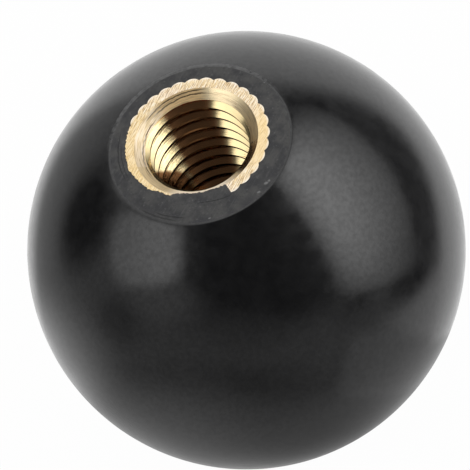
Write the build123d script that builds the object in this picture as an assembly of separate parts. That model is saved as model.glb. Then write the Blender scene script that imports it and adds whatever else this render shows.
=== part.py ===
from build123d import *
from math import cos, radians, sin, sqrt, tan
import os

os.makedirs("parts", exist_ok=True)

# Ball knob: a moulded ball on a knurled brass insert with a blind tapped hole.
# All sizes are in millimetres. Z is the axis of the thread and points out of the
# mouth; the origin is the middle of the mouth, in the plane of the ground flat.

# Ball
ball_d = 32.0
flat_d = 13.2
rim_round = 0.12
# the insert was moulded in slightly off centre: this is the ball's axis from the thread's
ball_x = 0.18
ball_y = -0.37

# Tapped hole, ISO metric coarse
thread_d = 8.0
thread_pitch = 1.25
minor_d = thread_d - 1.0825 * thread_pitch
hole_depth = 12.0
drill_point = 118.0
mouth_d = 9.0

# Knurled insert
knurl_d = 10.66
teeth = 31
tooth_depth = 0.2
tooth_top_share = 0.4
first_tooth = 3.8
insert_length = 15.0
groove_d = 9.4
groove_width = 2.0
groove_middle = 7.0

# Film of plastic that ran over the face of the insert
film_thickness = 0.2
film_start = 188.0
film_lip_start = 239.0
film_end = 279.0
film_bow = 0.4
film_root = 0.3

# Space left all round the insert in its pocket
moulding_gap = 0.02


def polar(radius, angle):
    """Point in the plane of the flat, angle in degrees from +X."""
    return Vector(radius * cos(radians(angle)), radius * sin(radians(angle)))


def ring_arc(radius, start, end):
    """Arc about the thread's axis."""
    middle = (start + end) / 2
    return ThreePointArc(polar(radius, start), polar(radius, middle), polar(radius, end))


def turned(outline):
    """Solid of revolution from (radius, height) corners on the thread's axis."""
    corners = [Vector(radius, 0, height) for radius, height in outline]
    return revolve(make_face(Polyline(*corners, close=True)), Axis.Z)


def knurled_bar(gap):
    """Bar with straight, flat-topped teeth, as long as the insert, grown by the gap."""
    tip_r = knurl_d / 2 + gap
    valley_r = tip_r - tooth_depth
    step = 360 / teeth
    corners = []
    for tooth in range(teeth):
        middle = first_tooth + tooth * step
        corners.append(polar(valley_r, middle - step / 2))
        corners.append(polar(tip_r, middle - step * tooth_top_share / 2))
        corners.append(polar(tip_r, middle + step * tooth_top_share / 2))
    return extrude(make_face(Polyline(*corners, close=True)), -(insert_length + gap))


def insert_outside(gap):
    """The insert's outer form, with the groove that locks it in, grown by the gap."""
    bar_r = knurl_d / 2 + gap
    end = -(insert_length + gap)
    groove_top = -groove_middle + groove_width / 2 - gap
    groove_bottom = -groove_middle - groove_width / 2 + gap
    groove_r = groove_d / 2 + gap
    blank = turned([
        (0, 0),
        (bar_r, 0),
        (bar_r, groove_top),
        (groove_r, groove_top),
        (groove_r, groove_bottom),
        (bar_r, groove_bottom),
        (bar_r, end),
        (0, end),
    ])
    return knurled_bar(gap) & blank


def film_plan():
    """Outline of the film: a bowed edge, the lip of the hole, and a clean cut."""
    lip_r = mouth_d / 2 - film_thickness
    root_r = knurl_d / 2 + film_root
    outer_start = polar(root_r, film_start)
    lip_start = polar(lip_r, film_lip_start)
    chord_middle = (outer_start + lip_start) / 2
    bow = chord_middle + chord_middle.normalized() * film_bow
    edges = [
        ThreePointArc(outer_start, bow, lip_start),
        ring_arc(lip_r, film_lip_start, film_end),
        Line(polar(lip_r, film_end), polar(root_r, film_end)),
        ring_arc(root_r, film_end, film_start),
    ]
    return make_face(edges)


def tapped_hole():
    """Countersink, core of the thread and drill point, as one cutter."""
    mouth_r = mouth_d / 2
    core_r = minor_d / 2
    point = core_r / tan(radians(drill_point / 2))
    return turned([
        (0, 0),
        (mouth_r, 0),
        (core_r, core_r - mouth_r),
        (core_r, -hole_depth),
        (0, -hole_depth - point),
    ])


film = film_plan()

# Brass insert
film_seat = extrude(offset(film, moulding_gap), -(film_thickness + moulding_gap))
threaded_insert = insert_outside(0) - tapped_hole() - film_seat

# Ball, moulded round the insert and ground flat at the mouth
flat_r = flat_d / 2
centre_z = -sqrt((ball_d / 2) ** 2 - flat_r ** 2)
ball = Pos(ball_x, ball_y, centre_z) * Sphere(ball_d / 2)
ball = split(ball, Plane.XY, keep=Keep.BOTTOM)
ball = fillet(ball.edges().filter_by(GeomType.CIRCLE).sort_by(Axis.Z)[-1], rim_round)
ball = ball - insert_outside(moulding_gap) + extrude(film, -film_thickness)

export_step(ball, "parts/ball.step")
export_step(threaded_insert, "parts/threaded_insert.step")
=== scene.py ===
from math import atan2, cos, degrees, pi, radians, sin, sqrt, tan
import random

import bmesh
import bpy
from mathutils import Matrix, Vector


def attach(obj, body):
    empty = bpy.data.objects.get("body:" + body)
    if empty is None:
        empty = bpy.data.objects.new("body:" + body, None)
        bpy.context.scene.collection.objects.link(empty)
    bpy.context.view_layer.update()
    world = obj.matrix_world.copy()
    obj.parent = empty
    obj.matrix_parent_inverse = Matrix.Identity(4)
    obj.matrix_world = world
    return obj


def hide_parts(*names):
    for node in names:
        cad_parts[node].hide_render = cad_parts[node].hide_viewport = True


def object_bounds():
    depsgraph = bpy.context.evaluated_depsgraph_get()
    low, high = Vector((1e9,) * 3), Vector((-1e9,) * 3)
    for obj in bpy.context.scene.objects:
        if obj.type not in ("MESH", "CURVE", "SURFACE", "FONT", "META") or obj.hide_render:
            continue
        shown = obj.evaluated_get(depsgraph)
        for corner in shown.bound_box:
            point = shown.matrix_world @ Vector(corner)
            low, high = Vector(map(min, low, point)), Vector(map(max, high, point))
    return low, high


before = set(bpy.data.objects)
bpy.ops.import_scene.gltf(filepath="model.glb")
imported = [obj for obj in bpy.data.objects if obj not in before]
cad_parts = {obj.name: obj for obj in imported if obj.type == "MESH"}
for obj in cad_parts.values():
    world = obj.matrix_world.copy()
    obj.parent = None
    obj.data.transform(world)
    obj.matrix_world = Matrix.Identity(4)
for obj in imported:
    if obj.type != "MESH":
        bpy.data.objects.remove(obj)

# Ball knob: a moulded ball round a knurled brass insert with a tapped hole.
# Lengths are in metres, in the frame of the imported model: Z is the axis of the
# thread and points out of the mouth, and the origin is the middle of the mouth.
# Angles round that axis are in degrees from +X.

cad_low, cad_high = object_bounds()

mm = 0.001
mm_in_a_metre = 1000.0

# Ball
ball_r = 15.992 * mm
flat_r = 6.6 * mm
ball_centre = Vector((0.18 * mm, -0.37 * mm, -sqrt(ball_r ** 2 - flat_r ** 2)))
rim_width = 0.1 * mm
rim_steps = 3
ball_columns = 224
ball_rows = 112
ball_smoothing = radians(12)

# Insert
teeth = 31
points_per_tooth = 8
tip_r = 5.33 * mm
tooth_depth = 0.2 * mm
first_tooth = 3.8
insert_length = 15.0 * mm
groove_r = 4.7 * mm
groove_width = 2.0 * mm
groove_middle = 7.0 * mm
moulding_gap = 0.02 * mm
insert_smoothing = radians(9)

# Hole: the countersink narrows from the mouth to its lip, and from there to the core of the thread
mouth_r = 4.5 * mm
lip_r = 3.82 * mm
lip_depth = 0.55 * mm
core_r = 3.54 * mm
core_depth = 0.83 * mm
hole_depth = 12.0 * mm
drill_point = 118.0

# Thread, from the middle of its last turn up to its end just under the lip
thread_r = 4.32 * mm
pitch = 1.25 * mm
root_flat = pitch / 8
flank_angle = radians(30)
turns = 10
thread_start = -10.838 * mm
thread_end = -lip_depth - 0.01 * mm
thread_overlap = 0.12 * mm
steps_per_turn = 96

# Film of plastic over the face of the insert
film_thickness = 0.2 * mm
film_end = 279.0
film_inner_r = 4.3 * mm
film_outer_r = 5.63 * mm
film_slices = 151
film_raggedness = 0.05 * mm
film_seed = 31
# Radius of its torn inner edge in millimetres, by the angle
film_edge = {
    128: 5.5, 140: 5.2, 160: 5.12, 180: 5.12, 191: 4.98, 201: 4.88, 206: 4.92, 214: 4.66,
    226: 4.64, 231: 4.41, 239: 4.3, 266: 4.33, 279: 4.45,
}

# How far a cutter stands out past what it cuts, and how near two points are one
clear = 1.0 * mm
same_point = 0.0005 * mm

# Upward part of the normal from which a face looks up, and from which it is level
looking_up = 0.9
dead_level = 0.9999

# Camera. The picture is this many pixels wide and high, and the ball's middle and radius are in its pixels
picture = 470
ball_in_picture = (246.5, 250.2)
ball_radius_in_picture = 219.3
view_distance = 320.0 * mm
tilt = radians(33.98)
roll = radians(-23.69)
sensor_width = 36.0
nearest_seen = 0.01
farthest_seen = 10.0

# Floor, and how much of it the camera sees as plain white
floor_size = 3.0
floor_grey = (0.92, 0.92, 0.92, 1)
floor_roughness = 0.9
floor_whiteness = 0.98


def take(piece):
    """Select this piece alone and make it the active one."""
    bpy.ops.object.select_all(action="DESELECT")
    piece.select_set(True)
    bpy.context.view_layer.objects.active = piece


def start_piece(name):
    """The primitive that was just added, named, with its place in its mesh."""
    piece = bpy.context.object
    piece.name = name
    piece.data.name = name
    bpy.ops.object.transform_apply(location=True, rotation=True, scale=True)
    return piece


def open_edit(piece):
    """Take this piece into edit mode."""
    take(piece)
    bpy.ops.object.mode_set(mode="EDIT")


def close_edit():
    """Go back to object mode."""
    bpy.ops.object.mode_set(mode="OBJECT")


def pick(piece, kind, wanted):
    """In edit mode, select only the vertices, edges or faces that the test wants."""
    bpy.ops.mesh.select_all(action="DESELECT")
    bpy.ops.mesh.select_mode(type=kind)
    mesh = bmesh.from_edit_mesh(piece.data)
    parts = {"VERT": mesh.verts, "EDGE": mesh.edges, "FACE": mesh.faces}[kind]
    for part in parts:
        part.select_set(wanted(part))
    bmesh.update_edit_mesh(piece.data)


def push_out(distance):
    """Extrude what is selected along Z."""
    bpy.ops.mesh.extrude_region_move(TRANSFORM_OT_translate={"value": (0, 0, distance)})


def widen(share):
    """Scale what is selected about the thread's axis, keeping its height."""
    bpy.ops.transform.resize(value=(share, share, 1), center_override=(0, 0, 0))


def weld(piece):
    """Close the seams, take out faces inside the solid and turn the rest outwards."""
    open_edit(piece)
    bpy.ops.mesh.select_all(action="SELECT")
    bpy.ops.mesh.remove_doubles(threshold=same_point)
    bpy.ops.mesh.select_all(action="DESELECT")
    bpy.ops.mesh.select_mode(type="FACE")
    bpy.ops.mesh.select_interior_faces()
    bpy.ops.mesh.delete(type="FACE")
    bpy.ops.mesh.select_all(action="SELECT")
    bpy.ops.mesh.fill_holes(sides=4)
    bpy.ops.mesh.select_all(action="SELECT")
    bpy.ops.mesh.normals_make_consistent(inside=False)
    close_edit()


def cut_off_above(height):
    """In edit mode, take away what stands above a height and close the cut."""
    bpy.ops.mesh.select_all(action="SELECT")
    bpy.ops.mesh.bisect(
        plane_co=(0, 0, height), plane_no=(0, 0, 1), use_fill=True, clear_outer=True, threshold=same_point
    )


def cut_out(piece, tool):
    """Cut the tool out of the piece. The new faces have the tool's finish."""
    take(piece)
    step = piece.modifiers.new("cut", "BOOLEAN")
    step.object = tool
    step.operation = "DIFFERENCE"
    step.solver = "EXACT"
    step.material_mode = "TRANSFER"
    bpy.ops.object.modifier_apply(modifier=step.name)
    bpy.data.objects.remove(tool)


def angle_of(point):
    """Degrees round the thread's axis, from +X."""
    return degrees(atan2(point.y, point.x)) % 360


def radius_of(point):
    """Distance from the thread's axis."""
    return sqrt(point.x ** 2 + point.y ** 2)


def upright_section(name, inner, outer, bottom, top, angle=0.0):
    """Rectangle in a plane through the thread's axis, at an angle in degrees from +X."""
    turn = radians(angle)
    middle = (inner + outer) / 2
    bpy.ops.mesh.primitive_plane_add(
        size=1,
        location=(middle * cos(turn), middle * sin(turn), (top + bottom) / 2),
        rotation=(radians(90), 0, turn),
    )
    bpy.context.object.scale = (outer - inner, top - bottom, 1)
    return start_piece(name)


def knurled_bar(name, growth, top):
    """Bar with round-topped teeth, from top down to the insert's end, grown all round."""
    bar_r = tip_r + growth
    bottom = -insert_length - growth
    bpy.ops.mesh.primitive_cylinder_add(
        vertices=teeth * points_per_tooth,
        radius=bar_r,
        depth=top - bottom,
        end_fill_type="NGON",
        location=(0, 0, (top + bottom) / 2),
        rotation=(0, 0, radians(first_tooth - 90)),
    )
    bar = start_piece(name)
    open_edit(bar)
    tooth = 360 / teeth
    half_width = tip_r * sin(radians(tooth / 2))
    crown_r = (half_width ** 2 + tooth_depth ** 2) / (2 * tooth_depth)
    for place in range(1, points_per_tooth):
        share = min(place, points_per_tooth - place) / (points_per_tooth / 2)
        drop = crown_r - sqrt(crown_r ** 2 - (share * half_width) ** 2)

        def in_place(vertex, place=place):
            steps = (angle_of(vertex.co) - first_tooth) / tooth * points_per_tooth
            return round(steps) % points_per_tooth == place

        pick(bar, "VERT", in_place)
        widen((bar_r - drop) / bar_r)
    close_edit()
    return bar


def locking_groove():
    """Ring that cuts the groove round the insert."""
    middle = -groove_middle
    ring = upright_section(
        "locking_groove", groove_r, tip_r + clear, middle - groove_width / 2, middle + groove_width / 2
    )
    open_edit(ring)
    bpy.ops.mesh.select_all(action="SELECT")
    bpy.ops.mesh.spin(steps=steps_per_turn, angle=2 * pi, center=(0, 0, 0), axis=(0, 0, 1))
    close_edit()
    weld(ring)
    return ring


def drilled_hole(turned, tapped):
    """Countersink, core of the thread and drill point, as one cutter."""
    bpy.ops.mesh.primitive_cylinder_add(
        vertices=steps_per_turn,
        radius=core_r,
        depth=hole_depth - core_depth,
        end_fill_type="NGON",
        location=(0, 0, -(hole_depth + core_depth) / 2),
    )
    hole = start_piece("drilled_hole")
    open_edit(hole)
    pick(hole, "FACE", lambda face: face.normal.z > looking_up)
    push_out(core_depth - lip_depth)
    widen(lip_r / core_r)
    pick(hole, "FACE", lambda face: face.normal.z > looking_up)
    push_out(lip_depth)
    widen(mouth_r / lip_r)
    push_out(clear)
    widen((mouth_r + clear) / mouth_r)
    pick(hole, "FACE", lambda face: face.calc_center_median().z < -hole_depth + same_point)
    push_out(-core_r / tan(radians(drill_point / 2)))
    bpy.ops.mesh.merge(type="CENTER")
    close_edit()
    hole.data.materials.append(turned)
    hole.data.materials.append(tapped)
    for face in hole.data.polygons:
        if face.center.z < -lip_depth:
            face.material_index = 1
    return hole


def thread_cutter(finish):
    """The spiral groove of the thread, wound upwards from its last turn."""
    inner = core_r - thread_overlap
    outer_half = root_flat / 2
    inner_half = outer_half + (thread_r - inner) * tan(flank_angle)
    cutter = upright_section(
        "thread_cutter", inner, thread_r, thread_start - inner_half, thread_start + inner_half
    )
    open_edit(cutter)
    pick(cutter, "VERT", lambda vertex: vertex.co.x > (inner + thread_r) / 2)
    bpy.ops.transform.resize(
        value=(1, 1, outer_half / inner_half), center_override=(0, 0, thread_start)
    )
    close_edit()
    winding = cutter.modifiers.new("winding", "SCREW")
    winding.axis = "Z"
    winding.angle = 2 * pi * turns
    winding.screw_offset = pitch * turns
    winding.steps = steps_per_turn * turns
    winding.render_steps = winding.steps
    winding.use_merge_vertices = False
    take(cutter)
    bpy.ops.object.modifier_apply(modifier=winding.name)
    weld(cutter)
    open_edit(cutter)
    cut_off_above(thread_end)
    close_edit()
    cutter.data.materials.append(finish)
    return cutter


def film_edge_at(angle):
    """Radius of the film's torn inner edge, uneven by a random draw."""
    angles = sorted(film_edge)
    after = next((place for place in angles if place >= angle), angles[-1])
    before = max((place for place in angles if place < after), default=after)
    share = (angle - before) / max(after - before, 1)
    radius = film_edge[before] + (film_edge[after] - film_edge[before]) * share
    return radius * mm + random.uniform(-film_raggedness, film_raggedness)


def film(name, growth, bottom):
    """Slab in the shape of the film, from its underside up past the face."""
    random.seed(film_seed)
    film_start = min(film_edge)
    sweep = film_end - film_start
    slab = upright_section(name, film_inner_r, film_outer_r, bottom, clear, film_start)
    open_edit(slab)
    bpy.ops.mesh.select_all(action="SELECT")
    bpy.ops.mesh.spin(
        steps=film_slices, angle=-radians(sweep), center=(0, 0, 0), axis=(0, 0, 1)
    )
    for slice_number in range(film_slices + 1):
        angle = film_start + sweep * slice_number / film_slices

        def on_edge(vertex, angle=angle):
            near = abs(angle_of(vertex.co) - angle) < sweep / film_slices / 2
            return near and radius_of(vertex.co) < (film_inner_r + film_outer_r) / 2

        pick(slab, "VERT", on_edge)
        widen((film_edge_at(angle) - growth) / film_inner_r)
    close_edit()
    weld(slab)
    return slab


def make_ball(polished, ground):
    """The ball, cut flat at the mouth, with the pocket that the insert leaves in it."""
    bpy.ops.mesh.primitive_uv_sphere_add(
        segments=ball_columns, ring_count=ball_rows, radius=ball_r, location=ball_centre
    )
    ball = start_piece("moulded_ball")
    open_edit(ball)
    cut_off_above(0)
    pick(ball, "EDGE", lambda edge: all(abs(v.co.z) < same_point for v in edge.verts))
    bpy.ops.mesh.bevel(offset=rim_width, segments=rim_steps, profile=0.5)
    close_edit()
    ball.data.materials.append(polished)
    ball.data.materials.append(ground)
    for face in ball.data.polygons:
        if face.normal.z > dead_level:
            face.material_index = 1
    pocket = knurled_bar("pocket", moulding_gap, clear)
    pocket.data.materials.append(ground)
    cut_out(pocket, film("film", 0, -film_thickness))
    cut_out(ball, pocket)
    weld(ball)
    take(ball)
    bpy.ops.object.shade_smooth_by_angle(angle=ball_smoothing)
    return ball


def make_insert(ground, turned, tapped):
    """The knurled insert, with its groove, its tapped hole and the seat of the film."""
    insert = knurled_bar("knurled_insert", 0, 0)
    insert.data.materials.append(ground)
    cut_out(insert, locking_groove())
    cut_out(insert, drilled_hole(turned, tapped))
    cut_out(insert, thread_cutter(tapped))
    seat = film("film_seat", moulding_gap, -film_thickness - moulding_gap)
    cut_out(insert, seat)
    weld(insert)
    take(insert)
    bpy.ops.object.shade_smooth_by_angle(angle=insert_smoothing)
    return insert


def add_node(tree, kind, **inputs):
    """A shader node with the values of its named sockets."""
    made = tree.nodes.new(kind)
    for name, value in inputs.items():
        made.inputs[name.replace("_", " ")].default_value = value
    return made


def calculate(tree, operation, *values):
    """A Math node. Each value is a number or a socket."""
    made = tree.nodes.new("ShaderNodeMath")
    made.operation = operation
    for socket, value in zip(made.inputs, values):
        if isinstance(value, (int, float)):
            socket.default_value = value
        else:
            tree.links.new(value, socket)
    return made.outputs[0]


def blend_numbers(tree, share, first, second):
    """A Mix node for numbers. Each value is a number or a socket."""
    made = tree.nodes.new("ShaderNodeMix")
    made.data_type = "FLOAT"
    for index, value in ((0, share), (2, first), (3, second)):
        if isinstance(value, (int, float)):
            made.inputs[index].default_value = value
        else:
            tree.links.new(value, made.inputs[index])
    return made.outputs[0]


def blend_colours(tree, share, first, second):
    """A Mix node for colours. Each colour is three numbers or a socket."""
    made = tree.nodes.new("ShaderNodeMix")
    made.data_type = "RGBA"
    for index, value in ((0, share), (6, first), (7, second)):
        if isinstance(value, (int, float)):
            made.inputs[index].default_value = value
        elif isinstance(value, tuple):
            made.inputs[index].default_value = (*value, 1)
        else:
            tree.links.new(value, made.inputs[index])
    return made.outputs[2]


def spread(tree, value, low, high, to_low, to_high):
    """A smooth Map Range node."""
    made = add_node(
        tree, "ShaderNodeMapRange", From_Min=low, From_Max=high, To_Min=to_low, To_Max=to_high
    )
    made.interpolation_type = "SMOOTHSTEP"
    tree.links.new(value, made.inputs["Value"])
    return made.outputs["Result"]


def by_angle(tree, angle, middle, near, far, at_near, at_far):
    """A value that changes smoothly with the degrees off a middle angle, alike on both sides."""
    off = calculate(tree, "ABSOLUTE", calculate(tree, "SUBTRACT", angle, middle))
    return spread(tree, off, near, far, at_near, at_far)


def share_of(tree, mask, share):
    """A mask made weaker."""
    return calculate(tree, "MULTIPLY", mask, share)


def new_group(name, inputs, outputs):
    """An empty shader group with number sockets. Returns it with its two end nodes."""
    group = bpy.data.node_groups.new(name, "ShaderNodeTree")
    for socket, value in inputs.items():
        made = group.interface.new_socket(socket, in_out="INPUT", socket_type="NodeSocketFloat")
        made.default_value = value
    for socket in outputs:
        group.interface.new_socket(socket, in_out="OUTPUT", socket_type="NodeSocketFloat")
    return group, group.nodes.new("NodeGroupInput"), group.nodes.new("NodeGroupOutput")


def use_group(tree, group, **inputs):
    """A node of this group. Each named input is a number or a socket."""
    made = tree.nodes.new("ShaderNodeGroup")
    made.node_tree = group
    for name, value in inputs.items():
        socket = made.inputs[name.replace("_", " ")]
        if isinstance(value, (int, float)):
            socket.default_value = value
        else:
            tree.links.new(value, socket)
    return made


def sanding_marks_group():
    """Fine straight scratches across the knob's face, all one way, from coarse and fine grit."""
    group, given, result = new_group(
        "sanding marks", {"Direction": 40.0, "Across": 6000.0, "Along": 500.0}, ["Marks", "Broad"]
    )
    place = group.nodes.new("ShaderNodeTexCoord")
    turn = group.nodes.new("ShaderNodeVectorRotate")
    turn.rotation_type = "Z_AXIS"
    group.links.new(place.outputs["Object"], turn.inputs["Vector"])
    back = calculate(group, "MULTIPLY", given.outputs["Direction"], -radians(1))
    group.links.new(back, turn.inputs["Angle"])
    parts = group.nodes.new("ShaderNodeSeparateXYZ")
    group.links.new(turn.outputs["Vector"], parts.inputs["Vector"])
    for output, coarser in (("Marks", 1.0), ("Broad", 0.25)):
        along = calculate(group, "MULTIPLY", given.outputs["Along"], coarser)
        across = calculate(group, "MULTIPLY", given.outputs["Across"], coarser)
        stretched = group.nodes.new("ShaderNodeCombineXYZ")
        group.links.new(calculate(group, "MULTIPLY", parts.outputs["X"], along), stretched.inputs["X"])
        group.links.new(calculate(group, "MULTIPLY", parts.outputs["Y"], across), stretched.inputs["Y"])
        grain = add_node(group, "ShaderNodeTexNoise", Scale=1.0, Detail=3.0, Roughness=0.6)
        group.links.new(stretched.outputs["Vector"], grain.inputs["Vector"])
        group.links.new(grain.outputs["Fac"], result.inputs[output])
    return group


def grain_group():
    """Even grain of moulded plastic or worn metal: a fine and a cloudy value."""
    group, given, result = new_group("grain", {"Fine": 4000.0, "Cloudy": 250.0}, ["Fine", "Cloudy"])
    place = group.nodes.new("ShaderNodeTexCoord")
    for name in ("Fine", "Cloudy"):
        grain = add_node(group, "ShaderNodeTexNoise", Detail=4.0, Roughness=0.55)
        group.links.new(place.outputs["Object"], grain.inputs["Vector"])
        group.links.new(given.outputs[name], grain.inputs["Scale"])
        group.links.new(grain.outputs["Fac"], result.inputs[name])
    return group


def distance_of(group, x, y):
    """Length of a line with these two coordinates."""
    squares = calculate(group, "ADD", calculate(group, "MULTIPLY", x, x), calculate(group, "MULTIPLY", y, y))
    return calculate(group, "SQRT", squares)


def axis_place(group):
    """Distance from the thread's axis, angle round it in degrees, and height, at the shaded point."""
    place = group.nodes.new("ShaderNodeTexCoord")
    parts = group.nodes.new("ShaderNodeSeparateXYZ")
    group.links.new(place.outputs["Object"], parts.inputs["Vector"])
    x, y, z = parts.outputs
    radius = distance_of(group, x, y)
    angle = calculate(group, "DEGREES", calculate(group, "ARCTAN2", y, x))
    return radius, angle, z


def turning_marks_group():
    """Fine rings round the thread's axis, left by a turning tool, fading in and out on the way round."""
    group, given, result = new_group("turning marks", {"Fine": 9000.0, "Around": 1.5}, ["Rings"])
    radius, angle, height = axis_place(group)
    turn = calculate(group, "RADIANS", angle)
    rings = group.nodes.new("ShaderNodeCombineXYZ")
    for axis, wave in (("X", "COSINE"), ("Y", "SINE")):
        share = calculate(group, "MULTIPLY", calculate(group, wave, turn), given.outputs["Around"])
        group.links.new(share, rings.inputs[axis])
    group.links.new(calculate(group, "MULTIPLY", radius, given.outputs["Fine"]), rings.inputs["Z"])
    grain = add_node(group, "ShaderNodeTexNoise", Scale=1.0, Detail=3.0, Roughness=0.6)
    grain.noise_dimensions = "4D"
    group.links.new(rings.outputs["Vector"], grain.inputs["Vector"])
    group.links.new(calculate(group, "MULTIPLY", height, given.outputs["Fine"]), grain.inputs["W"])
    group.links.new(grain.outputs["Fac"], result.inputs["Rings"])
    return group


# How far a scored arc wavers from side to side, in millimetres
arc_waver = 0.12


def scored_arc_group():
    """Mask of a thin, uneven arc round the thread's axis, in millimetres and degrees."""
    group, given, result = new_group(
        "scored arc",
        {"Radius": 5.0, "Lean": 0.0, "Angle": 0.0, "Half Angle": 10.0, "Half Width": 0.05},
        ["Mask"],
    )
    asked = given.outputs
    radius, angle, _ = axis_place(group)
    off = calculate(group, "WRAP", calculate(group, "SUBTRACT", angle, asked["Angle"]), 180, -180)
    middle = calculate(group, "ADD", asked["Radius"], calculate(group, "MULTIPLY", off, asked["Lean"]))
    place = group.nodes.new("ShaderNodeTexCoord")
    uneven = add_node(group, "ShaderNodeTexNoise", Scale=2500.0, Detail=2.0)
    group.links.new(place.outputs["Object"], uneven.inputs["Vector"])
    swing = calculate(group, "SUBTRACT", uneven.outputs["Fac"], 0.5)
    waver = calculate(group, "MULTIPLY", swing, arc_waver)
    radius_in_mm = calculate(group, "MULTIPLY", radius, mm_in_a_metre)
    across = calculate(group, "SUBTRACT", radius_in_mm, calculate(group, "ADD", middle, waver))
    beside = calculate(group, "DIVIDE", calculate(group, "ABSOLUTE", across), asked["Half Width"])
    beyond = calculate(group, "DIVIDE", calculate(group, "ABSOLUTE", off), asked["Half Angle"])
    narrow = spread(group, beside, 0.4, 1.0, 1.0, 0.0)
    short = spread(group, beyond, 0.6, 1.0, 1.0, 0.0)
    group.links.new(calculate(group, "MULTIPLY", narrow, short), result.inputs["Mask"])
    return group


def new_material(name):
    """A material, its tree and its Principled shader."""
    material = bpy.data.materials.new(name)
    material.use_nodes = True
    tree = material.node_tree
    return material, tree, tree.nodes["Principled BSDF"]


def raise_surface(tree, shader, height, distance):
    """Bump the shader's normal by a height from 0 to 1, at a distance in metres."""
    bump = add_node(tree, "ShaderNodeBump", Strength=1.0, Distance=distance)
    tree.links.new(height, bump.inputs["Height"])
    tree.links.new(bump.outputs["Normal"], shader.inputs["Normal"])


# Places round the thread's axis that the finishes change about, in degrees
right_side = 0
far_side = 85
top_left = 88
left_wall = 128
low_right = -25
near_side = -104

# Height of the bumps of each finish
polished_relief = 0.0008 * mm
ground_relief = 0.006 * mm
sanded_relief = 0.009 * mm
turned_relief = 0.004 * mm
tapped_relief = 0.028 * mm

# Colours of the polished plastic: its grain, and the worn rim
polished_dark = (0.0055, 0.0055, 0.006)
polished_pale = (0.0085, 0.0085, 0.009)
worn_rim = (0.1, 0.1, 0.1)

# Colours of the ground plastic: its grain, scratches, specks, flakes, scored arcs painted dark as shade in
# their grooves, and crumbs
ground_dark = (0.027, 0.027, 0.03)
ground_pale = (0.061, 0.06, 0.058)
ground_scratch = (0.13, 0.13, 0.13)
ground_speck = (0.016, 0.016, 0.016)
ground_flake = (0.13, 0.13, 0.125)
ground_score_shade = (0.006, 0.006, 0.006)
crumb_grey = (0.22, 0.22, 0.22)

# Colours of the brass face: its grain, the lines and specks of the sanding, painted shade on the left and low
# on the right, and a painted highlight along the tips of the knurl, where they have burrs
face_deep = (0.98, 0.77, 0.44)
face_pale = (0.99, 0.81, 0.6)
face_dark_line = (0.4, 0.25, 0.14)
face_dark_speck = (0.38, 0.24, 0.14)
face_light_line = (1.0, 0.93, 0.8)
face_left_shade = (0.93, 0.68, 0.27)
face_low_right_shade = (0.98, 0.74, 0.36)
face_burr_highlight = (1.0, 0.93, 0.82)

# Colours of the countersink: its grain, rings, scored lines painted dark as shade in their grooves, a rough
# near side with burrs painted pale as a highlight, and pale streaks
cone_deep = (0.87, 0.71, 0.44)
cone_pale = (0.93, 0.77, 0.5)
cone_ring = (0.4, 0.28, 0.17)
cone_score_shade = (0.1, 0.06, 0.03)
cone_burr_highlight = (1.0, 0.9, 0.76)
cone_streak = (1.0, 0.88, 0.74)

# Colours of the thread: its grain, the far wall, partly stained and partly painted shade, the painted shadow
# deep on the left, and the painted shade in the root and on the crest of the turns, plain and on the far wall
thread_deep = (0.8, 0.62, 0.33)
thread_pale = (0.88, 0.72, 0.4)
far_wall_stain_and_shade = (0.55, 0.27, 0.12)
depth_shadow = (0.14, 0.065, 0.025)
root_shade = (0.1, 0.05, 0.03)
root_shade_on_far_wall = (0.4, 0.2, 0.09)
crest_shade = (0.085, 0.05, 0.03)
crest_shade_on_far_wall = (0.15, 0.08, 0.05)

# Upper edge of the painted shadow deep on the left: the heights it fades between at an angle, and how much
# lower it lies with each degree from there towards the far wall
depth_shadow_edge = (-4.5 * mm, -3.9 * mm)
depth_shadow_angle = 150
depth_shadow_lean = 0.1 * mm


def polished_phenolic(grain):
    """The ball's polished black plastic, worn along the rim of the flat on its far side."""
    material, tree, shader = new_material("polished_phenolic")
    marks = use_group(tree, grain, Fine=3000.0, Cloudy=900.0)
    cloud = spread(tree, marks.outputs["Cloudy"], 0.3, 0.7, 0.0, 1.0)
    colour = blend_colours(tree, cloud, polished_dark, polished_pale)
    _, angle, height = axis_place(tree)
    rim = spread(tree, height, -1.3 * rim_width, -0.7 * rim_width, 0.0, 1.0)
    on_far_side = by_angle(tree, angle, far_side, 35, 85, 1.0, 0.0)
    uneven = spread(tree, marks.outputs["Fine"], 0.35, 0.6, 0.3, 1.0)
    worn = calculate(tree, "MULTIPLY", calculate(tree, "MULTIPLY", rim, on_far_side), uneven)
    colour = blend_colours(tree, worn, colour, worn_rim)
    tree.links.new(colour, shader.inputs["Base Color"])
    dull = blend_numbers(tree, cloud, 0.13, 0.2)
    tree.links.new(blend_numbers(tree, worn, dull, 0.6), shader.inputs["Roughness"])
    shader.inputs["IOR"].default_value = 1.6
    fine = spread(tree, marks.outputs["Fine"], 0.3, 0.7, 0.0, 1.0)
    tree.links.new(blend_numbers(tree, fine, 0.44, 0.56), shader.inputs["Specular IOR Level"])
    raise_surface(tree, shader, marks.outputs["Fine"], polished_relief)
    return material


# Arcs scored into the plastic of the face and painted dark as shade in their grooves, in millimetres and
# degrees:
# radius, how much the radius grows with each degree, angle of the middle, half angle, half width
plastic_arcs = {
    "edge of the insert under the film": (5.32, 0.012, 265, 15, 0.05),
    "outer arc on the left": (5.66, 0.0, 166, 24, 0.05),
    "inner arc on the left": (5.42, 0.0, 172, 16, 0.04),
    "outer crescent on the rim": (6.5, 0.003, 226, 14, 0.07),
    "inner crescent on the rim": (6.28, 0.004, 233, 12, 0.06),
}

# Crumbs of plastic on the rim, in millimetres: right, up, half width, half height
crumbs = {
    "crumb low on the right": (3.3, -5.7, 0.16, 0.1),
    "crumb beside it": (3.55, -5.6, 0.1, 0.08),
    "crumb further round": (2.57, -6.15, 0.13, 0.08),
    "crumb below": (-1.29, -6.5, 0.1, 0.06),
    "crumb high on the right": (6.15, 2.29, 0.1, 0.08),
}
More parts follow.
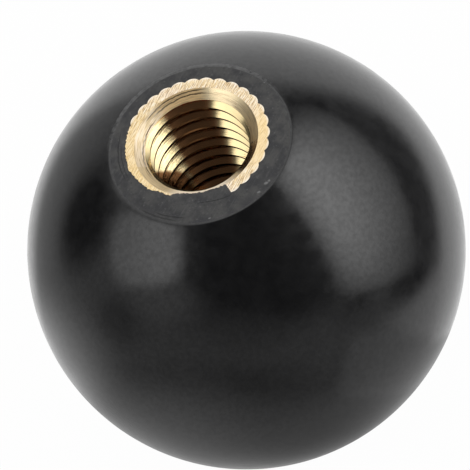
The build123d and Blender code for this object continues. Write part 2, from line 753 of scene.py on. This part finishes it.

# Lines scored in the countersink and painted dark as shade in their grooves, given like the arcs above
brass_arcs = {
    "outer line": (4.36, -0.0012, 96, 38, 0.045),
    "inner line": (4.16, -0.0012, 90, 34, 0.05),
    "lip on the left": (3.95, 0.0, 158, 42, 0.05),
}

# Depth of a scored arc and height of a crumb, as multiples of the sanding marks in the plastic
score_depth = 3.0
crumb_rise = 6.0


def add_masks(tree, masks):
    """The greatest of several masks."""
    total = masks[0]
    for mask in masks[1:]:
        total = calculate(tree, "MAXIMUM", total, mask)
    return total


def arcs_mask(tree, arc, arcs):
    """Mask of several scored arcs."""
    masks = []
    for radius, lean, angle, half_angle, half_width in arcs.values():
        made = use_group(
            tree, arc, Radius=radius, Lean=lean, Angle=angle, Half_Angle=half_angle, Half_Width=half_width
        )
        masks.append(made.outputs["Mask"])
    return add_masks(tree, masks)


def crumbs_mask(tree, patch):
    """Mask of the crumbs, from the place on the face in millimetres."""
    place = tree.nodes.new("ShaderNodeTexCoord")
    parts = tree.nodes.new("ShaderNodeSeparateXYZ")
    tree.links.new(place.outputs["Object"], parts.inputs["Vector"])
    right = calculate(tree, "MULTIPLY", parts.outputs["X"], mm_in_a_metre)
    up = calculate(tree, "MULTIPLY", parts.outputs["Y"], mm_in_a_metre)
    masks = []
    for middle_right, middle_up, half_width, half_height in crumbs.values():
        made = use_group(
            tree,
            patch,
            Right=right,
            Up=up,
            Middle_Right=middle_right,
            Middle_Up=middle_up,
            Half_Width=half_width,
            Half_Height=half_height,
            Corners=2.0,
            Softness=0.4,
        )
        masks.append(made.outputs["Mask"])
    return add_masks(tree, masks)


def ground_phenolic(sanding, grain, arc, patch):
    """The same plastic where it is ground: grey, scratched and specked, with crumbs, and with scored arcs
    painted dark as shade in their grooves.
    """
    material, tree, shader = new_material("ground_phenolic")
    scratches = use_group(tree, sanding, Direction=40.0, Across=7000.0, Along=500.0)
    marks = use_group(tree, grain, Fine=5000.0, Cloudy=900.0)
    cloud = spread(tree, marks.outputs["Cloudy"], 0.35, 0.65, 0.0, 1.0)
    colour = blend_colours(tree, cloud, ground_dark, ground_pale)
    line = spread(tree, scratches.outputs["Marks"], 0.55, 0.75, 0.0, 0.35)
    colour = blend_colours(tree, line, colour, ground_scratch)
    speck = spread(tree, marks.outputs["Fine"], 0.58, 0.7, 0.0, 0.7)
    colour = blend_colours(tree, speck, colour, ground_speck)
    flake = spread(tree, marks.outputs["Fine"], 0.3, 0.4, 0.6, 0.0)
    colour = blend_colours(tree, flake, colour, ground_flake)
    # The scored arcs are cut in by the bump and painted dark as shade inside them
    scored = arcs_mask(tree, arc, plastic_arcs)
    colour = blend_colours(tree, share_of(tree, scored, 0.65), colour, ground_score_shade)
    raised = crumbs_mask(tree, patch)
    colour = blend_colours(tree, share_of(tree, raised, 0.8), colour, crumb_grey)
    tree.links.new(colour, shader.inputs["Base Color"])
    dull = blend_numbers(tree, marks.outputs["Fine"], 0.5, 0.7)
    tree.links.new(dull, shader.inputs["Roughness"])
    cut = calculate(tree, "MULTIPLY", scored, score_depth)
    height = calculate(tree, "SUBTRACT", scratches.outputs["Marks"], cut)
    height = calculate(tree, "ADD", height, calculate(tree, "MULTIPLY", raised, crumb_rise))
    raise_surface(tree, shader, height, ground_relief)
    return material


def ground_brass(sanding, grain):
    """The sanded face of the insert, with painted shade that makes it darker and warmer on the left and low
    on the right, and a painted highlight along the tips of the knurl, where they have burrs.
    """
    material, tree, shader = new_material("ground_brass")
    shader.inputs["Metallic"].default_value = 1.0
    scratches = use_group(tree, sanding, Direction=42.0, Across=16000.0, Along=1500.0)
    marks = use_group(tree, grain, Fine=9000.0, Cloudy=400.0)
    cloud = spread(tree, marks.outputs["Cloudy"], 0.35, 0.65, 0.0, 1.0)
    colour = blend_colours(tree, cloud, face_deep, face_pale)
    dark_line = spread(tree, scratches.outputs["Marks"], 0.38, 0.52, 0.8, 0.0)
    colour = blend_colours(tree, dark_line, colour, face_dark_line)
    dark_speck = spread(tree, marks.outputs["Fine"], 0.32, 0.45, 0.6, 0.0)
    colour = blend_colours(tree, dark_speck, colour, face_dark_speck)
    light_line = spread(tree, scratches.outputs["Marks"], 0.5, 0.6, 0.0, 0.85)
    colour = blend_colours(tree, light_line, colour, face_light_line)
    radius, angle, _ = axis_place(tree)
    # Painted shade: the face darker and warmer towards the left
    painted_left_shade = by_angle(tree, angle, right_side, 100, 165, 0.0, 0.5)
    colour = blend_colours(tree, painted_left_shade, colour, face_left_shade)
    # Painted shade: the face darker and warmer low on the right
    painted_low_right_shade = by_angle(tree, angle, low_right, 15, 40, 0.6, 0.0)
    colour = blend_colours(tree, painted_low_right_shade, colour, face_low_right_shade)
    # Painted highlight along the tips of the knurl, where they have burrs
    burr_and_highlight = spread(tree, radius, 5.12 * mm, 5.3 * mm, 0.0, 0.7)
    colour = blend_colours(tree, burr_and_highlight, colour, face_burr_highlight)
    tree.links.new(colour, shader.inputs["Base Color"])
    dull = blend_numbers(tree, scratches.outputs["Broad"], 0.35, 0.5)
    tree.links.new(dull, shader.inputs["Roughness"])
    raise_surface(tree, shader, scratches.outputs["Marks"], sanded_relief)
    return material


def turned_brass(turning, grain, arc):
    """The turned countersink, with scored lines painted dark as shade in their grooves, pale streaks, and a
    rough near side with burrs painted pale as a highlight.
    """
    material, tree, shader = new_material("turned_brass")
    shader.inputs["Metallic"].default_value = 1.0
    rings = use_group(tree, turning, Fine=12000.0, Around=3.0)
    marks = use_group(tree, grain, Fine=6000.0, Cloudy=500.0)
    colour = blend_colours(tree, marks.outputs["Cloudy"], cone_deep, cone_pale)
    dark_ring = spread(tree, rings.outputs["Rings"], 0.35, 0.55, 0.5, 0.0)
    colour = blend_colours(tree, dark_ring, colour, cone_ring)
    # The scored lines are cut in by the bump and painted dark as shade inside them
    scored = arcs_mask(tree, arc, brass_arcs)
    colour = blend_colours(tree, share_of(tree, scored, 0.85), colour, cone_score_shade)
    _, angle, _ = axis_place(tree)
    # The near side is rough like a burr, and its pale colour is a painted highlight
    burr_and_highlight = by_angle(tree, angle, near_side, 20, 40, 1.0, 0.0)
    colour = blend_colours(tree, burr_and_highlight, colour, cone_burr_highlight)
    streak = spread(tree, rings.outputs["Rings"], 0.45, 0.6, 0.0, 0.8)
    pale_streak = calculate(tree, "MULTIPLY", streak, spread(tree, angle, 95, 125, 0.0, 1.0))
    colour = blend_colours(tree, pale_streak, colour, cone_streak)
    tree.links.new(colour, shader.inputs["Base Color"])
    dull = cone_dullness(tree, rings.outputs["Rings"], angle)
    tree.links.new(blend_numbers(tree, burr_and_highlight, dull, 0.95), shader.inputs["Roughness"])
    height = calculate(tree, "SUBTRACT", rings.outputs["Rings"], scored)
    raise_surface(tree, shader, height, turned_relief)
    return material


def cone_dullness(tree, rings, angle):
    """Roughness of the countersink, duller on the left, at the top left and on the right."""
    dull = blend_numbers(tree, rings, 0.14, 0.26)
    for middle, near, far, at_near, at_far in (
        (right_side, 56, 68, 0.0, 0.38),
        (top_left, 16, 34, 0.28, 0.0),
        (right_side, 12, 36, 0.2, 0.0),
    ):
        dull = calculate(tree, "ADD", dull, by_angle(tree, angle, middle, near, far, at_near, at_far))
    return dull


def tapped_brass(turning, grain):
    """The thread, partly stained and partly painted with shade on the far wall, with a painted shadow deep on
    the left, and painted shade in the root and on the crest.
    """
    material, tree, shader = new_material("tapped_brass")
    shader.inputs["Metallic"].default_value = 0.95
    rings = use_group(tree, turning, Fine=9000.0, Around=1.6)
    marks = use_group(tree, grain, Fine=7000.0, Cloudy=600.0)
    colour = blend_colours(tree, marks.outputs["Cloudy"], thread_deep, thread_pale)
    radius, angle, height = axis_place(tree)
    # The far wall: partly a real stain, partly painted shade
    far_wall = by_angle(tree, angle, far_side, 22, 30, 1.0, 0.0)
    colour = blend_colours(tree, far_wall, colour, far_wall_stain_and_shade)
    # Painted shadow deep on the left of the hole
    colour = blend_colours(tree, left_depth_shadow(tree, angle, height), colour, depth_shadow)
    # Painted shade in the root of the thread, lighter on the far wall
    root = spread(tree, radius, 3.95 * mm, 4.15 * mm, 0.0, 0.85)
    root_shade_colour = blend_colours(tree, far_wall, root_shade, root_shade_on_far_wall)
    colour = blend_colours(tree, root, colour, root_shade_colour)
    # Painted shade on the crest of the turns, where the normal is nearly level
    shape = tree.nodes.new("ShaderNodeNewGeometry")
    parts = tree.nodes.new("ShaderNodeSeparateXYZ")
    tree.links.new(shape.outputs["True Normal"], parts.inputs["Vector"])
    crest = spread(tree, calculate(tree, "ABSOLUTE", parts.outputs["Z"]), 0.2, 0.5, 1.0, 0.0)
    crest_shade_colour = blend_colours(tree, far_wall, crest_shade, crest_shade_on_far_wall)
    colour = blend_colours(tree, crest, colour, crest_shade_colour)
    tree.links.new(colour, shader.inputs["Base Color"])
    dull = blend_numbers(tree, marks.outputs["Fine"], 0.04, 0.1)
    tree.links.new(dull, shader.inputs["Roughness"])
    deeper_left = by_angle(tree, angle, left_wall, 13, 33, 1.0, 0.35)
    depth = calculate(tree, "MULTIPLY", rings.outputs["Rings"], deeper_left)
    raise_surface(tree, shader, depth, tapped_relief)
    return material


def left_depth_shadow(tree, angle, height):
    """Mask of the painted shadow deep on the left of the hole, with a leaning upper edge."""
    off = calculate(tree, "SUBTRACT", depth_shadow_angle, angle)
    lean = calculate(tree, "MULTIPLY", off, depth_shadow_lean)
    low, high = depth_shadow_edge
    deep = spread(tree, calculate(tree, "ADD", height, lean), low, high, 1.0, 0.0)
    return calculate(tree, "MULTIPLY", deep, spread(tree, angle, 108, 118, 0.0, 1.0))


def soft_patch_group():
    """Mask of a soft-edged patch with rounded corners, in any two coordinates."""
    group, given, result = new_group(
        "soft patch",
        {
            "Right": 0.0,
            "Up": 0.0,
            "Middle Right": 0.0,
            "Middle Up": 0.0,
            "Half Width": 1.0,
            "Half Height": 1.0,
            "Turn": 0.0,
            "Corners": 4.0,
            "Softness": 0.1,
        },
        ["Mask"],
    )
    asked = given.outputs
    right = calculate(group, "SUBTRACT", asked["Right"], asked["Middle Right"])
    up = calculate(group, "SUBTRACT", asked["Up"], asked["Middle Up"])
    turn = calculate(group, "RADIANS", asked["Turn"])
    cosine = calculate(group, "COSINE", turn)
    sine = calculate(group, "SINE", turn)
    right_share = calculate(group, "MULTIPLY", right, cosine)
    across = calculate(group, "ADD", right_share, calculate(group, "MULTIPLY", up, sine))
    up_share = calculate(group, "MULTIPLY", up, cosine)
    along = calculate(group, "SUBTRACT", up_share, calculate(group, "MULTIPLY", right, sine))
    total = None
    for offset, half in ((across, "Half Width"), (along, "Half Height")):
        share = calculate(group, "DIVIDE", calculate(group, "ABSOLUTE", offset), asked[half])
        power = calculate(group, "POWER", share, asked["Corners"])
        total = power if total is None else calculate(group, "ADD", total, power)
    inverse = calculate(group, "DIVIDE", 1.0, asked["Corners"])
    reach = calculate(group, "POWER", total, inverse)
    inside = calculate(group, "SUBTRACT", 1.0, reach)
    doubled = calculate(group, "MULTIPLY", asked["Softness"], 2.0)
    shifted = calculate(group, "ADD", calculate(group, "DIVIDE", inside, doubled), 0.5)
    mask = spread(group, shifted, 0.0, 1.0, 0.0, 1.0)
    group.links.new(mask, result.inputs["Mask"])
    return group


# Lamps with soft edges, placed and sized by how they look from the ball's middle: degrees off the front,
# degrees from straight up round the front, the lamp's own turn in degrees, and its width and height as shares
# of the distance. Far edge and low edge are the shares of its brightness left at its far side and low end
softbox_distance = 600.0 * mm
softboxes = {
    "large_softbox": {
        "off front": 64.2,
        "round front": 62.6,
        "turn": 21,
        "width": 1.18,
        "height": 1.78,
        "softness": 0.5,
        "radiance": 2.53,
        "far edge": 0.4,
        "low edge": 0.66,
    },
    "small_softbox": {
        "off front": 53.5,
        "round front": -89,
        "turn": 180,
        "width": 0.82,
        "height": 0.66,
        "softness": 0.2,
        "radiance": 1.34,
        "far edge": 0.55,
        "low edge": 1.0,
    },
}


def softbox_glow(tree, look, patch):
    """Brightness over the face of a lamp, from its own coordinates, which run from 0 to 1."""
    shape = tree.nodes.new("ShaderNodeNewGeometry")
    parts = tree.nodes.new("ShaderNodeSeparateXYZ")
    tree.links.new(shape.outputs["Parametric"], parts.inputs["Vector"])
    mask = use_group(
        tree,
        patch,
        Right=parts.outputs["X"],
        Up=parts.outputs["Y"],
        Middle_Right=0.5,
        Middle_Up=0.5,
        Half_Width=0.45,
        Half_Height=0.45,
        Corners=4.0,
        Softness=look["softness"],
    )
    across = spread(tree, parts.outputs["X"], 0.25, 0.85, 1.0, look["far edge"])
    down = spread(tree, parts.outputs["Y"], 0.1, 0.6, look["low edge"], 1.0)
    fade = calculate(tree, "MULTIPLY", across, down)
    return calculate(tree, "MULTIPLY", mask.outputs["Mask"], fade)


def softbox(name, look, patch, studio):
    """One of the lamps, facing the ball."""
    off = radians(look["off front"])
    around = radians(look["round front"])
    toward = Vector((sin(off) * sin(around), sin(off) * cos(around), cos(off)))
    side = Vector((0, 1, 0)).cross(toward).normalized()
    rise = toward.cross(side)
    turn = Matrix.Rotation(radians(look["turn"]), 3, "Z")
    facing = Matrix((side, rise, toward)).transposed() @ turn
    data = bpy.data.lights.new(name, "AREA")
    data.shape = "RECTANGLE"
    data.size = look["width"] * softbox_distance
    data.size_y = look["height"] * softbox_distance
    data.energy = look["radiance"] * pi * data.size * data.size_y
    data.use_nodes = True
    tree = data.node_tree
    tree.links.new(softbox_glow(tree, look, patch), tree.nodes["Emission"].inputs["Strength"])
    lamp = bpy.data.objects.new(name, data)
    place = ball_centre + studio @ toward * softbox_distance
    lamp.matrix_world = Matrix.Translation(place) @ (studio @ facing).to_4x4()
    lamp.visible_camera = False
    bpy.context.scene.collection.objects.link(lamp)


# The studio as the ball mirrors it, in degrees right and up from straight in front: middle right, middle up,
# half width, half height, turn, corners, softness, brightness. Each patch covers those before it
surroundings = {
    "pale ceiling over the knob's face": (-26, 62, 38, 38, 0, 2, 0.3, 1.14),
    "dark studio in front": (8, 0, 38, 36, 0, 3, 0.25, 0.055),
    "dark surround of the large softbox": (66, 27, 54, 64, 24, 2.2, 0.25, 0.13),
    "dark gap over the large softbox": (34, 81, 15, 10, 0, 2, 0.6, 0.06),
    "wall low on the right": (112, -36, 34, 26, -12, 2, 0.6, 0.85),
    "dark gap on the right": (97, -17, 22, 9.5, 37, 2, 0.7, 0.06),
    "dark gap on the left": (-93, 20, 18, 32, -24, 2, 0.5, 0.04),
    "dark stand on the left": (-71, -40, 13, 12, 0, 2, 0.8, 0.2),
    "pale wall over the small softbox": (-50, 38, 22, 12, 0, 2, 0.5, 0.95),
    "paler table under the small softbox": (-44, -28, 16, 10, 0, 2, 0.7, 0.5),
    "wall on the left": (-148, 5, 26, 60, 0, 3, 0.6, 0.5),
    "wall low on the left": (-125, -72, 36, 34, 0, 2, 0.7, 0.95),
    "table on the right": (114, -77, 60, 22, -11.6, 8, 0.04, 0.6),
    "near edge of the table": (-8, -74, 50, 12, 0, 2, 0.9, 0.19),
    "light patch on the table": (-50, -108, 38, 26, 20, 2, 0.9, 0.62),
    "shade under the ball": (55, -132, 46, 28, 0, 2, 0.7, 0.33),
}

# Inside these patches are the room and the table, and past them the white backdrop behind the ball
room_edges = (
    (-12, -60, 135, 158, 0, 4, 0.05),
    (90, -150, 160, 90, -3, 6, 0.03),
)

# Brightness of the room by the angle from straight in front
room_levels = {0: 0.28, 45: 0.25, 60: 0.37, 75: 0.38, 95: 0.38, 115: 0.47, 140: 0.5, 180: 0.5}

# Keeps a division by the distance from the front from failing straight in front
smallest_side = 0.0001


def angles_from_front(tree, studio):
    """Degrees off the front in a direction of the world, and their parts to the right and up."""
    direction = tree.nodes.new("ShaderNodeTexCoord").outputs["Generated"]
    measured = []
    for axis in range(3):
        along = tree.nodes.new("ShaderNodeVectorMath")
        along.operation = "DOT_PRODUCT"
        tree.links.new(direction, along.inputs[0])
        along.inputs[1].default_value = studio.col[axis]
        measured.append(along.outputs["Value"])
    right, up, front = measured
    off = calculate(tree, "DEGREES", calculate(tree, "ARCCOSINE", front))
    side = calculate(tree, "MAXIMUM", distance_of(tree, right, up), smallest_side)
    scale = calculate(tree, "DIVIDE", off, side)
    return off, calculate(tree, "MULTIPLY", right, scale), calculate(tree, "MULTIPLY", up, scale)


def room_brightness(tree, off):
    """Brightness of the bare room by the degrees off the front."""
    room = tree.nodes.new("ShaderNodeValToRGB")
    tree.links.new(calculate(tree, "DIVIDE", off, 180.0), room.inputs["Fac"])
    ramp = room.color_ramp
    ramp.interpolation = "EASE"
    for number, (at, level) in enumerate(room_levels.items()):
        stop = ramp.elements[number] if number < 2 else ramp.elements.new(at / 180)
        stop.position = at / 180
        stop.color = (level, level, level, 1)
    return room.outputs["Color"]


def seen_directly(tree):
    """A mask of what the camera sees straight or through glass, and the Light Path node."""
    path = tree.nodes.new("ShaderNodeLightPath")
    through = path.outputs["Is Transmission Ray"]
    return calculate(tree, "MAXIMUM", path.outputs["Is Camera Ray"], through), path


def light_the_studio(studio, patch):
    """The world: the room and what stands in it, and plain white behind the ball."""
    world = bpy.data.worlds.new("studio")
    bpy.context.scene.world = world
    world.use_nodes = True
    tree = world.node_tree
    off, degrees_right, degrees_up = angles_from_front(tree, studio)

    def patch_mask(right_at, up_at, width, height, turn, corners, softness):
        mask = use_group(
            tree,
            patch,
            Right=degrees_right,
            Up=degrees_up,
            Middle_Right=right_at,
            Middle_Up=up_at,
            Half_Width=width,
            Half_Height=height,
            Turn=turn,
            Corners=corners,
            Softness=softness,
        )
        return mask.outputs["Mask"]

    level = room_brightness(tree, off)
    for *shape, brightness in surroundings.values():
        level = blend_numbers(tree, patch_mask(*shape), level, brightness)
    room_mask = add_masks(tree, [patch_mask(*edge) for edge in room_edges])
    behind = calculate(tree, "SUBTRACT", 1.0, room_mask)
    seen, path = seen_directly(tree)
    mirrored = calculate(tree, "MULTIPLY", path.outputs["Is Glossy Ray"], behind)
    white = calculate(tree, "MAXIMUM", seen, mirrored)
    tree.links.new(blend_numbers(tree, white, level, 1.0), tree.nodes["Background"].inputs["Color"])


def lay_floor():
    """A pale floor under the ball, plain white where the camera sees it."""
    bpy.ops.mesh.primitive_plane_add(size=floor_size, location=(0, 0, cad_low.z))
    floor = start_piece("floor")
    material, tree, shader = new_material("pale_floor")
    shader.inputs["Base Color"].default_value = floor_grey
    shader.inputs["Roughness"].default_value = floor_roughness
    white = add_node(tree, "ShaderNodeEmission", Strength=1.0)
    seen, _ = seen_directly(tree)
    share = calculate(tree, "MULTIPLY", seen, floor_whiteness)
    mixed = tree.nodes.new("ShaderNodeMixShader")
    tree.links.new(share, mixed.inputs["Fac"])
    tree.links.new(shader.outputs["BSDF"], mixed.inputs[1])
    tree.links.new(white.outputs["Emission"], mixed.inputs[2])
    tree.links.new(mixed.outputs["Shader"], tree.nodes["Material Output"].inputs["Surface"])
    floor.data.materials.append(material)
    floor.visible_glossy = False


def place_camera(studio):
    """The camera at the photograph's angle and distance, with the ball where it shows there."""
    data = bpy.data.cameras.new("camera")
    data.sensor_width = sensor_width
    seen_r = ball_r / sqrt(view_distance ** 2 - ball_r ** 2)
    data.lens = data.sensor_width * ball_radius_in_picture / (picture * seen_r)
    data.shift_x = (picture / 2 - ball_in_picture[0]) / picture
    data.shift_y = (ball_in_picture[1] - picture / 2) / picture
    data.clip_start = nearest_seen
    data.clip_end = farthest_seen
    camera = bpy.data.objects.new("camera", data)
    eye = ball_centre + view_distance * studio.col[2]
    camera.matrix_world = Matrix.Translation(eye) @ studio.to_4x4()
    bpy.context.scene.collection.objects.link(camera)
    bpy.context.scene.camera = camera


# The studio's right, up and front directions, with front towards the camera
studio = Matrix.Rotation(tilt, 3, "X") @ Matrix.Rotation(roll, 3, "Z")

bpy.context.scene.view_settings.view_transform = "Standard"
place_camera(studio)
patch = soft_patch_group()
light_the_studio(studio, patch)
for name, look in softboxes.items():
    softbox(name, look, patch, studio)
lay_floor()

sanding = sanding_marks_group()
grain = grain_group()
turning = turning_marks_group()
arc = scored_arc_group()
ball = make_ball(polished_phenolic(grain), ground_phenolic(sanding, grain, arc, patch))
insert = make_insert(
    ground_brass(sanding, grain), turned_brass(turning, grain, arc), tapped_brass(turning, grain)
)

for piece, node, finish in (
    (ball, "ball", "phenolic"),
    (insert, "threaded_insert", "brass"),
):
    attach(piece, "root")
    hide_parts(node)
